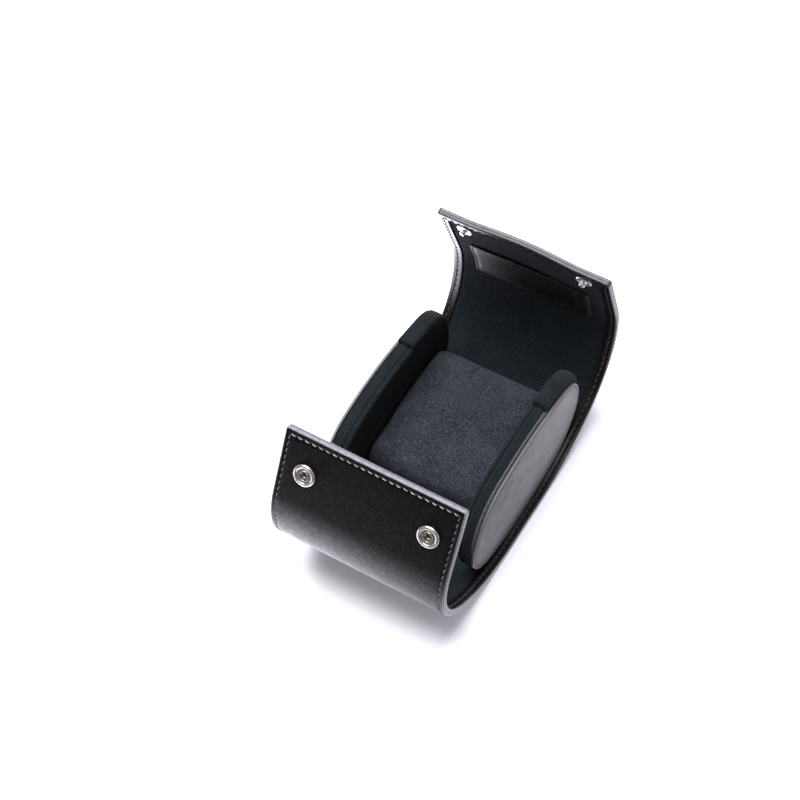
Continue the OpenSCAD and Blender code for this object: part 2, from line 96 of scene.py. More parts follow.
# each stretch: its name, its two ends along the strip, the bodies that it follows and its fold
stretches = (
    ("flap_face", -155.1, -82, ("flap_upper",), None),
    ("flap_top_bend", -82, -60, ("flap_middle", "flap_upper"), -71),
    ("flap_middle_bend", -60, -38, ("flap_lower", "flap_middle"), -49),
    ("flap_foot_bend", -38, -12, ("case_base", "flap_lower"), -23),
    ("base", -12, 21.5, ("case_base",), None),
    ("lid_foot_bend", 21.5, 44.5, ("case_base", "lid_lower"), 32.5),
    ("lid_middle_bend", 44.5, 72, ("lid_lower", "lid_middle"), 58.5),
    ("lid_back", 72, 97, ("lid_middle",), None),
    ("lid_top_bend", 97, 120, ("lid_middle", "lid_upper"), 108.5),
    ("lid_face", 120, 161.5, ("lid_upper",), None),
)
fold_reach = 11.0
# the stretches of the frame's own layers: name and two ends along the strip
frame_stretches = (
    ("flap_upper", -155, -71),
    ("flap_middle", -71, -49),
    ("flap_lower", -49, -23),
    ("base", -23, 32.5),
    ("lid_lower", 32.5, 58.5),
    ("lid_middle", 58.5, 108.5),
    ("lid_upper", 108.5, 161.4),
)


def outward(points, faces):
    """The same faces, turned so that each closed part faces outward, and the soft normal at each point."""
    mesh = bpy.data.meshes.new("shape")
    mesh.from_pydata([tuple(p) for p in points], [], faces)
    shape = bmesh.new()
    shape.from_mesh(mesh)
    bmesh.ops.recalc_face_normals(shape, faces=shape.faces)
    shape.to_mesh(mesh)
    shape.free()
    turned = [tuple(p.vertices) for p in mesh.polygons]
    normals = np.array([n.vector for n in mesh.vertex_normals])
    bpy.data.meshes.remove(mesh)
    return turned, normals


def in_scene(name, data):
    """A new object in the scene."""
    made = bpy.data.objects.new(name, data)
    bpy.context.scene.collection.objects.link(made)
    return made


def make_piece(name, points, faces, normals, paints, finishes, laid):
    """A smooth mesh piece with its finishes, and where each point lay before it was bent or sewn."""
    mesh = bpy.data.meshes.new(name)
    mesh.from_pydata([tuple(p) for p in points], [], faces)
    mesh.polygons.foreach_set("material_index", paints)
    mesh.polygons.foreach_set("use_smooth", [True] * len(faces))
    mesh.attributes.new("laid", "FLOAT_VECTOR", "POINT").data.foreach_set("vector", np.ravel(laid))
    for one in finishes:
        mesh.materials.append(one)
    mesh.update()
    mesh.normals_split_custom_set_from_vertices([tuple(n) for n in normals])
    return in_scene(name, mesh)


def lay_on_strip(name, flat, faces, finishes, paints=None, layer=None, islands=False):
    """Bends a flat layer to the case and cuts it into stretches; a stretch on one body rides on it, and a stretch at a
    fold is left where it lies.
    """
    flat = np.asarray(flat, float)
    paints = [0] * len(faces) if paints is None else paints
    placed = on_strip(flat)
    faces, normals = outward(placed, faces)
    if islands:
        middles = [flat[f[0] - f[0] % islands, 1] for f in faces]
    else:
        middles = [flat[list(f), 1].mean() for f in faces]
    made = []
    for stretch, low, high, bodies, fold in stretches:
        mine = [i for i, m in enumerate(middles) if low <= m < high]
        if not mine:
            continue
        used = sorted({v for i in mine for v in faces[i]})
        fresh = {v: k for k, v in enumerate(used)}
        cut = [[fresh[v] for v in faces[i]] for i in mine]
        piece = make_piece(
            f"{stretch}_{name}", placed[used], cut, normals[used],
            [paints[i] for i in mine], finishes, flat[used] / 1000,
        )
        if fold is None:
            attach(piece, bodies[0])
        else:
            near = fold + copysign(fold_reach, -fold)
            far = fold + copysign(fold_reach, fold)
            start, end = on_strip([(0, near, 1.6), (0, far, 1.6)])
            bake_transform(piece)
        if layer:
            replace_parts(piece, *[f"{n}_{layer}" for n, a, b in frame_stretches if a < high and b > low])
        made.append(piece)
    return made


def drawn_in(distance, radius):
    """How far a round edge or corner draws back, this far from the end."""
    short = np.clip(radius - distance, 0, radius)
    return radius - sqrt(radius**2 - short**2)


def tube_faces(rings, around, joined=False):
    """Faces of a tube of rings, with both ends closed, or joined up into a loop."""
    faces = [
        (i * around + j, i * around + (j + 1) % around,
         (i + 1) % rings * around + (j + 1) % around, (i + 1) % rings * around + j)
        for i in range(rings if joined else rings - 1) for j in range(around)
    ]
    return faces if joined else faces + [tuple(range(around)), tuple(range((rings - 1) * around, rings * around))]


def rounding(a, b, across, up, turns):
    """Points on a round corner or edge about (a, b), at these turns in degrees."""
    return [(a + across * cos(t), b + up * sin(t)) for t in np.radians(turns)]


def stations(low, high, steps, first, last, pitch):
    """Places along the strip: close steps at both ends, and an even pitch between them."""
    return np.concatenate([low + steps, np.arange(low + first, high - last, pitch), high - steps[::-1]])


def thread_dip(from_side, from_end, rows, depth, width=0.5):
    """How deep thread pulls leather in, this far from a side and an end, along rows this far from them."""
    near_side = abs(from_side - rows[0]) if from_end > rows[1] else 9
    near_end = abs(from_end - rows[1]) if from_side > rows[0] else 9
    return depth * exp(-((min(near_side, near_end) / width) ** 2))


tip_steps = np.array([0, 0.06, 0.2, 0.45, 0.8, 1.2, 1.6, 2.1, 2.5, 2.8, 3.0, 3.2, 3.5, 3.9, 4.6])
side_columns = [26.2, 27.7, 29.2, 30.7, 32.2, 36.0, 37.4, 38.4, 38.9, 39.2, 39.5, 39.8, 40.1, 40.6, 41.25]
columns = np.array([-c for c in reversed(side_columns)] + list(range(-22, 23, 4)) + side_columns)

outer_points = []
strip_stations = stations(flap_tip, lid_tip, tip_steps, 5.8, 5.2, 1.25)
for along in strip_stations:
    end = min(along - flap_tip, lid_tip - along)
    half = strip_half - drawn_in(end, corner_round)
    low, high = drawn_in(end, edge_round), leather_thick - drawn_in(end, back_round)
    thin = (high - low) / leather_thick
    face = columns * (half - edge_round) / (strip_half - edge_round)
    ring = [(x, low + thread_dip(strip_half - abs(x), end, (side_row, end_row), 0.24)) for x in face]
    thin_round = thin * edge_round
    ring += rounding(half - edge_round, low + thin_round, edge_round, thin_round, [-72, -54, -36, -18, 0])
    ring += rounding(half - back_round, high - thin * back_round, back_round, thin * back_round, [0, 45, 90])
    back = [(-x, o) for x, o in reversed(ring[len(columns):])]
    ring += [(x, high) for x, column in zip(face[::-1], columns[::-1]) if abs(column) < 37] + back
    outer_points += [(x, along, o) for x, o in ring]
around = len(ring)
outer_faces = tube_faces(len(strip_stations), around)
face_count = len(columns) - 1
edge_of = []
for f in outer_faces[:-2]:
    end = min(abs(outer_points[f[0]][1] - flap_tip), abs(lid_tip - outer_points[f[0]][1]))
    edge_of.append(1 if f[0] % around >= face_count or end < edge_round else 0)
edge_of += [1, 1]


def bore_through(points, faces, paints, across, along):
    """Cuts a round hole through the strip for a snap, from the outer face to the back, with its wall."""
    patches, kept, kept_paints, holes = ([], []), [], [], []
    for f, paint in zip(faces, paints):
        if all(abs(points[v][0] - across) < 3.1 and -3.1 < points[v][1] - along < 3.6 for v in f):
            patches[points[f[0]][2] > leather_thick / 2].append(f)
        else:
            kept.append(f)
            kept_paints.append(paint)
    for patch in patches:
        shared = Counter(v for f in patch for v in f)
        turns = {v: atan2(points[v][1] - along, points[v][0] - across) for v, n in shared.items() if n < 4}
        rim = sorted(turns, key=turns.get)
        hole = range(len(points), len(points) + len(rim))
        points += [
            (across + bore_radius * cos(turns[v]), along + bore_radius * sin(turns[v]), points[v][2])
            for v in rim
        ]
        kept += [(rim[k - 1], rim[k], hole[k], hole[k - 1]) for k in range(len(rim))]
        holes.append(hole)
    kept += [(holes[0][k - 1], holes[0][k], holes[1][k], holes[1][k - 1]) for k in range(len(holes[0]))]
    return kept, kept_paints + [0] * (len(kept) - len(kept_paints))


for side in (-1, 1):
    outer_faces, edge_of = bore_through(outer_points, outer_faces, edge_of, side * snap_across, socket_along)


def node(tree, kind, inputs=(), **settings):
    """A new shader node; an input is a plain value or the socket that feeds it."""
    made = tree.nodes.new("ShaderNode" + kind)
    for key, value in settings.items():
        setattr(made, key, value)
    for socket, value in dict(inputs).items():
        if isinstance(value, bpy.types.NodeSocket):
            tree.links.new(value, made.inputs[socket])
        else:
            made.inputs[socket].default_value = value
    return made


def effect(name, scales, *outputs):
    """An empty shader node group: a place and named scales go in, and values that vary over the surface come out."""
    tree = bpy.data.node_groups.new(name, "ShaderNodeTree")
    tree.interface.new_socket("Place", in_out="INPUT", socket_type="NodeSocketVector")
    for label, scale in scales.items():
        tree.interface.new_socket(label, in_out="INPUT", socket_type="NodeSocketFloat").default_value = scale
    for label in outputs:
        tree.interface.new_socket(label, in_out="OUTPUT", socket_type="NodeSocketFloat")
    return tree, tree.nodes.new("NodeGroupInput").outputs, tree.nodes.new("NodeGroupOutput")


def math_node(tree, operation, a, b=0.0, c=0.5):
    return node(tree, "Math", {0: a, 1: b, 2: c}, operation=operation).outputs[0]


def product(tree, first, *others):
    """Values multiplied together."""
    for value in others:
        first = math_node(tree, "MULTIPLY", first, value)
    return first


def ranged(tree, value, low, high, to_low=0.0, to_high=1.0, **settings):
    """A value carried from one range to another and held at its ends."""
    inputs = {"Value": value, "From Min": low, "From Max": high, "To Min": to_low, "To Max": to_high}
    return node(tree, "MapRange", inputs, **settings).outputs[0]


def noise(tree, place, scale, detail, rough=0.5, twist=0.0):
    """Cloudy noise; scale is in clouds per metre."""
    inputs = {"Vector": place, "Scale": scale, "Detail": detail, "Roughness": rough, "Distortion": twist}
    return node(tree, "TexNoise", inputs).outputs["Fac"]


def place_in(tree, laid_flat):
    """Where a point lay before it was bent or sewn, or where it is in the case."""
    if laid_flat:
        return node(tree, "Attribute", attribute_name="laid").outputs["Vector"]
    return node(tree, "TexCoord").outputs["Object"]


def placed_effect(tree, group, laid_flat, **scales):
    """One use of a shared effect in a material, with its own scales."""
    inputs = {key.replace("_", " "): value for key, value in scales.items()}
    return node(tree, "Group", {"Place": place_in(tree, laid_flat), **inputs}, node_tree=group).outputs


def new_finish(name, colour, roughness, **sockets):
    """A material with its plain values set on the shader itself."""
    made = bpy.data.materials.new(name)
    made.use_nodes = True
    shader = made.node_tree.nodes["Principled BSDF"]
    shader.inputs["Base Color"].default_value = (*colour, 1)
    shader.inputs["Roughness"].default_value = roughness
    for socket, value in sockets.items():
        shader.inputs[socket.replace("_", " ")].default_value = value
    return made, made.node_tree, shader


def tint(tree, amount, dark, light):
    """A colour between two, by an amount from 0 to 1."""
    return node(tree, "Mix", {0: amount, 6: (*dark, 1), 7: (*light, 1)}, data_type="RGBA").outputs[2]


def feed(tree, fed, **values):
    """Links values to a node's named sockets."""
    for socket, value in values.items():
        tree.links.new(value, fed.inputs[socket.replace("_", " ")])


def relief(tree, shader, height, distance, strength=1.0):
    """Feeds a height to the shader's normal; distance is its depth in metres."""
    bump = node(tree, "Bump", {"Height": height, "Distance": distance, "Strength": strength})
    feed(tree, shader, Normal=bump.outputs["Normal"])


calf_grain, given, gives = effect("calf_grain", {"Pore Scale": 1100.0, "Cloud Scale": 170.0}, "Height", "Cloud")
place, pore_scale, cloud_scale = given["Place"], given["Pore Scale"], given["Cloud Scale"]
pores = node(calf_grain, "TexVoronoi", {"Vector": place, "Scale": pore_scale}, feature="SMOOTH_F1")
fine = noise(calf_grain, place, product(calf_grain, pore_scale, 1.7), 3.0)
creases = noise(calf_grain, place, product(calf_grain, cloud_scale, 2.2), 5.0, 0.62, 0.6)
cloud = noise(calf_grain, place, cloud_scale, 6.0, 0.68, 0.4)
pitted = math_node(calf_grain, "MULTIPLY_ADD", pores.outputs["Distance"], 0.5, fine)
lined = math_node(calf_grain, "MULTIPLY_ADD", creases, 0.9, pitted)
feed(calf_grain, gives, Height=lined, Cloud=ranged(calf_grain, cloud, 0.34, 0.68))


def leather_finish(name, dark, light, dull, shiny, depth, waxed=0.5, **scales):
    """Grained leather on the strip, lighter and shinier where its surface is clouded."""
    made, tree, shader = new_finish(name, light, dull, Specular_IOR_Level=waxed)
    grain = placed_effect(tree, calf_grain, True, **scales)
    feed(
        tree, shader, Base_Color=tint(tree, grain["Cloud"], dark, light),
        Roughness=ranged(tree, grain["Cloud"], 0, 1, dull, shiny),
    )
    relief(tree, shader, grain["Height"], depth)
    return made, grain


outer_leather, grain = leather_finish(
    "outer_leather", (0.0025, 0.0023, 0.0026), (0.0065, 0.006, 0.0068), 0.47, 0.38, 0.00009, 0.25
)
tree = outer_leather.node_tree
feed(tree, tree.nodes["Principled BSDF"], Specular_IOR_Level=ranged(tree, grain["Height"], 0.95, 1.4, 0.14, 0.27))

# the edge paint is dark and brushed in tone; a painted highlight turns it pale towards the two tips, most at the flap
# and less at the lid, where light from above catches the edges, and painted shade keeps it dark on the border's half of
# the edge
painted_edge, tree, shader = new_finish("painted_edge", (0.16, 0.16, 0.19), 0.3, Coat_Weight=0.2, Coat_Roughness=0.2)
laid = place_in(tree, True)
brushed = noise(tree, laid, 420.0, 4.0, 0.6)
at = node(tree, "SeparateXYZ", {0: laid}).outputs
tip_highlight = ranged(tree, math_node(tree, "ABSOLUTE", at["Y"]), 0.1, 0.15, 0.12, 1.0)
lid_highlight_cut = ranged(tree, at["Y"], -0.02, 0.1, 1.0, 0.4)
border_edge_shade = ranged(tree, at["Z"], 0.0014, 0.0024, 1.0, 0.4)
tone_and_painted_highlight = product(tree, math_node(tree, "ADD", brushed, 0.2), tip_highlight, lid_highlight_cut, border_edge_shade)
# the pale colour is the painted highlight
feed(
    tree, shader, Base_Color=tint(tree, tone_and_painted_highlight, (0.012, 0.012, 0.015), (0.6, 0.6, 0.69)),
    Roughness=ranged(tree, brushed, 0, 1, 0.22, 0.38),
)
relief(tree, shader, brushed, 0.00006)

finishes = [outer_leather, painted_edge]
lay_on_strip("outer_leather", outer_points, outer_faces, finishes, edge_of, "leather")

# ---------------------------------------------------------------- lining
# The lining is one piece of blue-black microsuede, glued to the back of the leather from tip
# to tip. It lies a little below the border and is drawn down where the border is sewn over it.
lining_half = 37.0
lining_foot, lining_face = 1.7, 2.9
lining_ends = (flap_tip + 4, lid_tip - 4)
lining_points = []
lining_steps = np.array([0, 0.3, 0.7, 1.2, 2.0])
lining_stations = stations(*lining_ends, lining_steps, 3.2, 2.6, 1.3)
lining_columns = np.array([-37, -36.7, -36.3, -35.8, -35, -33.6, *range(-31, 32, 4), 33.6, 35, 35.8, 36.3, 36.7, 37])
for along in lining_stations:
    end = min(along - lining_ends[0], lining_ends[1] - along)
    for x in lining_columns:
        edge = min(end, lining_half - abs(x))
        ripple = 0.07 * sin(0.31 * x + 0.9 * sin(0.11 * along))
        ripple *= sin(0.17 * along + 0.6 * sin(0.2 * x))
        drawn_down = 0.45 * exp(-((edge / 0.8) ** 2))
        lining_points.append((x, along, lining_face - drawn_down + ripple * min(1, edge / 4)))
    lining_points += [(x, along, lining_foot) for x in (lining_half, 0, -lining_half)]
lining_faces = tube_faces(len(lining_stations), len(lining_columns) + 3)

suede_nap, given, gives = effect(
    "suede_nap", {"Fibre Scale": 1700.0, "Brushing Scale": 60.0}, "Height", "Fibres", "Brushing"
)
fibres = noise(suede_nap, given["Place"], given["Fibre Scale"], 3.0, 0.72)
brushing = noise(suede_nap, given["Place"], given["Brushing Scale"], 4.0, 0.6, 0.8)
feed(
    suede_nap, gives, Height=fibres, Fibres=ranged(suede_nap, fibres, 0.44, 0.6),
    Brushing=ranged(suede_nap, brushing, 0.35, 0.65),
)


def suede_finish(name, dark, light, laid_flat=False):
    """Microsuede: a nap of short fibres, brushed darker and lighter in patches."""
    made, tree, shader = new_finish(
        name, light, 0.92, Specular_IOR_Level=0.12, Sheen_Weight=0.04, Sheen_Roughness=0.7
    )
    nap = placed_effect(tree, suede_nap, laid_flat)
    amount = math_node(tree, "MULTIPLY_ADD", nap["Fibres"], 0.75, product(tree, nap["Brushing"], 0.25))
    feed(tree, shader, Base_Color=tint(tree, amount, dark, light))
    relief(tree, shader, nap["Height"], 0.00025, 0.8)
    return made


lining_suede = suede_finish("lining_suede", (0.005, 0.008, 0.010), (0.027, 0.038, 0.048), True)
lay_on_strip("lining", lining_points, lining_faces, [lining_suede], layer="lining")

# ---------------------------------------------------------------- inner border
# A narrow frame of the same leather runs round the inside edge over the lining. It is glued
# and sewn through to the outer leather, so that the two edges are painted as one.
border_foot, border_face = 1.66, 3.2
border_end = 4.0
inner_corner, corner_steps = 1.2, 6


def frame_line(half, ends, radius):
    """A rounded rectangle on the flat strip, corner by corner, with a turn in the middle of each corner."""
    line = []
    for sx, sy, start in ((1, 1, 0), (-1, 1, 90), (-1, -1, 180), (1, -1, 270)):
        y = ends[1] - radius if sy > 0 else ends[0] + radius
        turns = [start + 90 * k / corner_steps for k in range(corner_steps + 1)]
        line += rounding(sx * (half - radius), y, radius, radius, turns)
    return line


outside = frame_line(strip_half, (flap_tip, lid_tip), corner_round)
inside = frame_line(lining_half, (flap_tip + border_end, lid_tip - border_end), inner_corner)
border_pairs = []
for corner in range(4):
    first = corner * (corner_steps + 1)
    border_pairs += [(outside[first + k], inside[first + k]) for k in range(corner_steps + 1)]
    leave, arrive = first + corner_steps, (first + corner_steps + 1) % len(outside)
    pace = 3.2 if corner % 2 == 0 else 0.82
    run = max(abs(a - b) for a, b in zip(outside[leave], outside[arrive]))
    count = int(run / pace)
    for k in range(1, count):
        t = k / count
        border_pairs.append(tuple(
            (line[leave][0] * (1 - t) + line[arrive][0] * t, line[leave][1] * (1 - t) + line[arrive][1] * t)
            for line in (outside, inside)
        ))
border_points = []
for (px, py), (qx, qy) in border_pairs:
    wide = hypot(qx - px, qy - py)
    row = end_row if abs(qx - px) < 0.5 * abs(qy - py) else side_row
    row = min(row, wide - 0.9)
    section = [(0.06, border_foot), (0, border_foot + 0.1), (0, border_face - edge_round)]
    section += rounding(edge_round, border_face - edge_round, -edge_round, edge_round, [18, 36, 54, 72, 90])
    section += [(row + d, border_face) for d in (-0.9, -0.5, -0.25, 0, 0.25, 0.5)]
    section += [(wide - 0.4, border_face), (wide - 0.12, border_face - 0.12), (wide, border_face - 0.4)]
    section.append((wide, border_foot))
    for d, o in section:
        x, y = px + (qx - px) * d / wide, py + (qy - py) * d / wide
        from_end = min(y - flap_tip, lid_tip - y)
        dip = thread_dip(strip_half - abs(x), from_end, (side_row, end_row), 0.22) if o == border_face else 0
        border_points.append((x, y, o - dip))
border_around = len(section)
border_faces = tube_faces(len(border_pairs), border_around, joined=True)
painted_faces = 6
border_paints = [1 if i % border_around < painted_faces else 0 for i in range(len(border_faces))]
border_leather, _ = leather_finish(
    "border_leather", (0.007, 0.0065, 0.007), (0.02, 0.0185, 0.02), 0.34, 0.24, 0.00008, Cloud_Scale=260.0
)
finishes = [border_leather, painted_edge]
lay_on_strip("border", border_points, border_faces, finishes, border_paints, "border")

# ---------------------------------------------------------------- stitching
# The strip is sewn right round with grey-white thread in slightly slanted lock stitches.
# The same row shows inside on the border, where the under thread is darker and lies deeper.
stitch_length, thread_radius, stitch_slant = 2.3, 0.27, 11.0


def stitch_mesh(rows, length, radius, rise, slant):
    """Stitches as small rounded bars, one for each (a, b, heading in degrees): places (a, b, height) and faces."""
    points, faces = [], []
    rings, sides = 7, 8
    for a, b, heading in rows:
        turn = radians(heading + slant)
        first = len(points)
        for i in range(rings):
            t = 2 * i / (rings - 1) - 1
            thick = radius * sqrt(max(0.04, 1 - abs(t) ** 3.5))
            lift = rise * (1 - abs(t) ** 3) - radius * 0.9 * abs(t) ** 3
            for j in range(sides):
                angle = 2 * pi * j / sides
                side, up = thick * cos(angle), thick * sin(angle)
                along = t * length / 2
                points.append((
                    a + along * cos(turn) - side * sin(turn),
                    b + along * sin(turn) + side * cos(turn),
                    lift + up,
                ))
        faces += [tuple(first + v for v in f) for f in tube_faces(rings, sides)]
    return points, faces


def seam_round(half, low, high, pitch):
    """Stitch middles and headings round a rectangle on the strip, at an even pitch between its corners."""
    corners = [(half, low), (half, high), (-half, high), (-half, low)]
    seam = []
    for (ax, ay), (bx, by) in zip(corners, corners[1:] + corners[:1]):
        count = max(1, round(hypot(bx - ax, by - ay) / pitch))
        heading = degrees(atan2(by - ay, bx - ax))
        shares = [(k + 0.5) / count for k in range(count)]
        seam += [(ax + (bx - ax) * t, ay + (by - ay) * t, heading) for t in shares]
    return seam


seam = seam_round(strip_half - side_row, flap_tip + end_row, lid_tip - end_row, stitch_pitch)

thread_twist, given, gives = effect("thread_twist", {}, "Height", "Soil")
soil = noise(thread_twist, given["Place"], 320.0, 3.0)
feed(
    thread_twist, gives, Height=noise(thread_twist, given["Place"], 5200.0, 2.0, 0.7),
    Soil=ranged(thread_twist, soil, 0.35, 0.65),
)


def thread_finish(name, clean, worn, laid_flat=True):
    """Waxed thread, soiled in places."""
    made, tree, shader = new_finish(name, clean, 0.7, Sheen_Weight=0.2)
    twist = placed_effect(tree, thread_twist, laid_flat)
    feed(tree, shader, Base_Color=tint(tree, twist["Soil"], worn, clean))
    relief(tree, shader, twist["Height"], 0.00008)
    return made


top_thread = thread_finish("top_thread", (0.7, 0.7, 0.71), (0.42, 0.42, 0.43))
# a darker copy of the top thread, painted shade for the side rows, which the light from above reaches less than the end
# rows
shaded_side_thread = thread_finish("shaded_side_thread", (0.3, 0.3, 0.31), (0.15, 0.15, 0.155))
under_thread = thread_finish("under_thread", (0.12, 0.12, 0.125), (0.06, 0.06, 0.064))
bar_points = 56
places, bars = stitch_mesh(seam, stitch_length, thread_radius, 0.02, stitch_slant)
# under the case the stitches are pressed flush, so that it stands on its leather
standing = [(a, b, max(-h, 0.03) if -24 < b < 17 else -h) for a, b, h in places]
# stitches in the side rows take the painted shade
at_side = [int(abs(sin(radians(heading))) > 0.7) for _, _, heading in seam]
side_shade_marks = [shade for shade in at_side for _ in range(len(bars) // len(seam))]
lay_on_strip("top_stitches", standing, bars, [top_thread, shaded_side_thread], side_shade_marks, islands=bar_points)
places, bars = stitch_mesh(seam, stitch_length, thread_radius, 0.0, -stitch_slant)
raised = [(a, b, border_face + h) for a, b, h in places]
lay_on_strip("under_stitches", raised, bars, [under_thread], islands=bar_points)

# ---------------------------------------------------------------- label patch
# A plain leather patch with round corners is sewn to the lining inside the lid. It is left
# bare, with one row of small dark stitches close to its edge.
patch_half, patch_low, patch_high = 29.5, 110.0, 137.0
patch_foot, patch_face, patch_corner = 2.9, 3.95, 2.0
patch_row = 1.3
patch_steps = np.array([0, 0.05, 0.18, 0.4, 0.75, 1.05, 1.3, 1.55, 1.9])
patch_stations = stations(patch_low, patch_high, patch_steps, 2.9, 2.1, 1.2)
patch_side = [5, 11, 17, 22, 26, 27.5, 27.95, 28.2, 28.45, 28.8, 29.1]
patch_columns = np.array([-c for c in reversed(patch_side)] + [0] + patch_side)
patch_lip = 0.4
patch_points = []
for along in patch_stations:
    end = min(along - patch_low, patch_high - along)
    half = patch_half - drawn_in(end, patch_corner)
    drop = drawn_in(end, patch_lip)
    for x in patch_columns * (half - patch_lip) / patch_columns[-1]:
        dip = thread_dip(half - abs(x), end, (patch_row, patch_row), 0.2, 0.35)
        patch_points.append((x, along, patch_face - drop - dip))
    lip = rounding(half - patch_lip, patch_face - drop - patch_lip, patch_lip, patch_lip, [60, 30, 0])
    lip.append((half, patch_foot))
    patch_points += [(x, along, o) for x, o in lip] + [(-x, along, o) for x, o in reversed(lip)]
patch_faces = tube_faces(len(patch_stations), len(patch_columns) + 2 * len(lip))

patch_leather, _ = leather_finish(
    "patch_leather", (0.006, 0.0065, 0.007), (0.022, 0.022, 0.022), 0.5, 0.33, 0.0001, 0.35, Cloud_Scale=330.0
)
for piece in lay_on_strip("label_patch", patch_points, patch_faces, [patch_leather]):
    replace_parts(piece, "label_patch")
patch_seam = seam_round(patch_half - patch_row, patch_low + patch_row, patch_high - patch_row, 1.9)
places, bars = stitch_mesh(patch_seam, 1.3, 0.19, 0.0, 0)
raised = [(a, b, patch_face - 0.08 + h) for a, b, h in places]
lay_on_strip("patch_stitches", raised, bars, [under_thread], islands=bar_points)

# ---------------------------------------------------------------- snap fasteners
# Two sockets are set through the flap and two studs through the lid, each with a cap or an
# eyelet on the far side. They are pressed from sheet steel and plated in polished nickel.
stud_along = lid_tip - 8.0


def whole_piece(name, points, faces, finishes, body, paints=None, laid=None):
    """A closed piece that rides on one body as it is."""
    faces, normals = outward(points, faces)
    paints = paints or [0] * len(faces)
    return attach(make_piece(name, points, faces, normals, paints, finishes, laid or points), body)


def turned_part(name, outline, across, along, level, facing, body, finishes, node_name, crimps=None, within=0.0):
    """A pressed metal part, turned from (radius, height); height is outward (facing 1) or inward (-1) from its level.

    Its crimps are (from radius, to radius, depth, how many), and its second finish lies within a radius.
    """
    sides = 96
    middle, out = on_strip([(across, along, level), (across, along, level - 1)])
    up = Vector(out - middle).normalized() * facing
    side = Vector((1, 0, 0))
    other = up.cross(side).normalized()
    points, laid = [], []
    for radius, height in outline:
        for k in range(sides):
            angle = 2 * pi * k / sides
            x, y, rise = radius * cos(angle), radius * sin(angle), height
            if crimps and crimps[0] < radius < crimps[1]:
                rise -= crimps[2] * max(0.0, cos(angle * crimps[3])) ** 2
            points.append(Vector(middle) + (side * x + other * y + up * rise) / 1000)
            laid.append((x / 1000, y / 1000, height / 1000))
    faces = tube_faces(len(outline), sides)
    paints = [1 if outline[min(f) // sides][0] < within else 0 for f in faces]
    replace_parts(whole_piece(name, points, faces, finishes, body, paints, laid), node_name)


def rounded_outline(corners, steps=4):
    """A turned outline with each corner (radius, height, how far it is rounded) made round."""
    line = []
    for i, (r, h, soft) in enumerate(corners):
        if soft == 0 or i in (0, len(corners) - 1):
            line.append((r, h))
            continue
        here, before, after = Vector((r, h)), Vector(corners[i - 1][:2]), Vector(corners[i + 1][:2])
        a = here + (before - here).normalized() * min(soft, (before - here).length * 0.45)
        b = here + (after - here).normalized() * min(soft, (after - here).length * 0.45)
        for k in range(steps + 1):
            t = k / steps
            line.append(tuple(a * (1 - t) ** 2 + here * 2 * t * (1 - t) + b * t * t))
    return line


plating, given, gives = effect("plating_wear", {}, "Polish", "Height")
haze = noise(plating, given["Place"], 700.0, 5.0, 0.65)
feed(
    plating, gives, Polish=ranged(plating, haze, 0.35, 0.65), Height=noise(plating, given["Place"], 1400.0, 1.0)
)


def metal_finish(name, bright, dim, polished, hazed, metallic=0.85, laid_flat=True):
    """Nickel plate, hazed in places."""
    made, tree, shader = new_finish(name, bright, polished, Metallic=metallic)
    worn = placed_effect(tree, plating, laid_flat)
    feed(
        tree, shader, Base_Color=tint(tree, worn["Polish"], dim, bright),
        Roughness=ranged(tree, worn["Polish"], 0, 1, hazed, polished),
    )
    relief(tree, shader, worn["Height"], 0.00002)
    return made


nickel = metal_finish("polished_nickel", (0.97, 0.95, 0.93), (0.88, 0.86, 0.84), 0.26, 0.4)
aged_nickel = metal_finish("aged_nickel", (0.66, 0.6, 0.55), (0.40, 0.35, 0.31), 0.2, 0.36)
dark_nickel = metal_finish("dull_nickel", (0.42, 0.40, 0.38), (0.28, 0.27, 0.26), 0.3, 0.45, 0.6, False)

socket_outline = rounded_outline([
    (1.92, -1.5, 0), (1.92, 0.62, 0.15), (2.1, 0.86, 0.25), (2.5, 0.84, 0.25), (2.7, 0.42, 0.2), (3.35, 0.36, 0.2),
    (3.5, 0.78, 0.25), (3.95, 1.08, 0.4), (4.7, 0.98, 0.6), (5.15, 0.35, 0.4), (5.0, 0.02, 0), (2.3, 0.02, 0),
    (2.25, -1.5, 0),
])
stud_outline = rounded_outline([
    (0.02, 2.9, 0), (0.95, 2.88, 0.4), (1.5, 2.3, 0.35), (1.5, 1.8, 0.3), (1.15, 1.4, 0.3), (1.2, 0.85, 0.3),
    (1.7, 0.5, 0.2), (2.6, 0.45, 0.3), (2.95, 0.75, 0.3), (3.55, 0.78, 0.3), (3.8, 0.35, 0.3), (3.75, 0.0, 0),
    (0.02, 0.0, 0),
])
cap_outline = rounded_outline([
    (0.02, 1.5, 0), (1.8, 1.42, 0.8), (3.4, 0.98, 0.8), (4.4, 0.42, 0.3), (4.6, 0.1, 0.2), (4.5, 0.0, 0),
    (0.02, 0.0, 0),
])
for side, across in (("left", -snap_across), ("right", snap_across)):
    turned_part(
        f"{side}_snap_socket", socket_outline, across, socket_along, 0.0, 1, "flap_upper",
        [nickel, aged_nickel], f"{side}_socket", (2.5, 3.4, 0.2, 22), 3.4,
    )
    turned_part(
        f"{side}_snap_stud", stud_outline, across, stud_along, lining_face - 0.02, -1, "lid_upper",
        [nickel], f"{side}_stud", (3.0, 3.7, 0.1, 18),
    )
    turned_part(f"{side}_snap_cap", cap_outline, across, stud_along, 0.0, 1, "lid_upper", [nickel], "stud_caps")


def finish_node(name, finish):
    """Gives a piece that keeps its shape in the frame its own finish."""
    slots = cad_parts[name].data.materials
    slots.clear()
    slots.append(finish)


finish_node("socket_eyelets", dark_nickel)

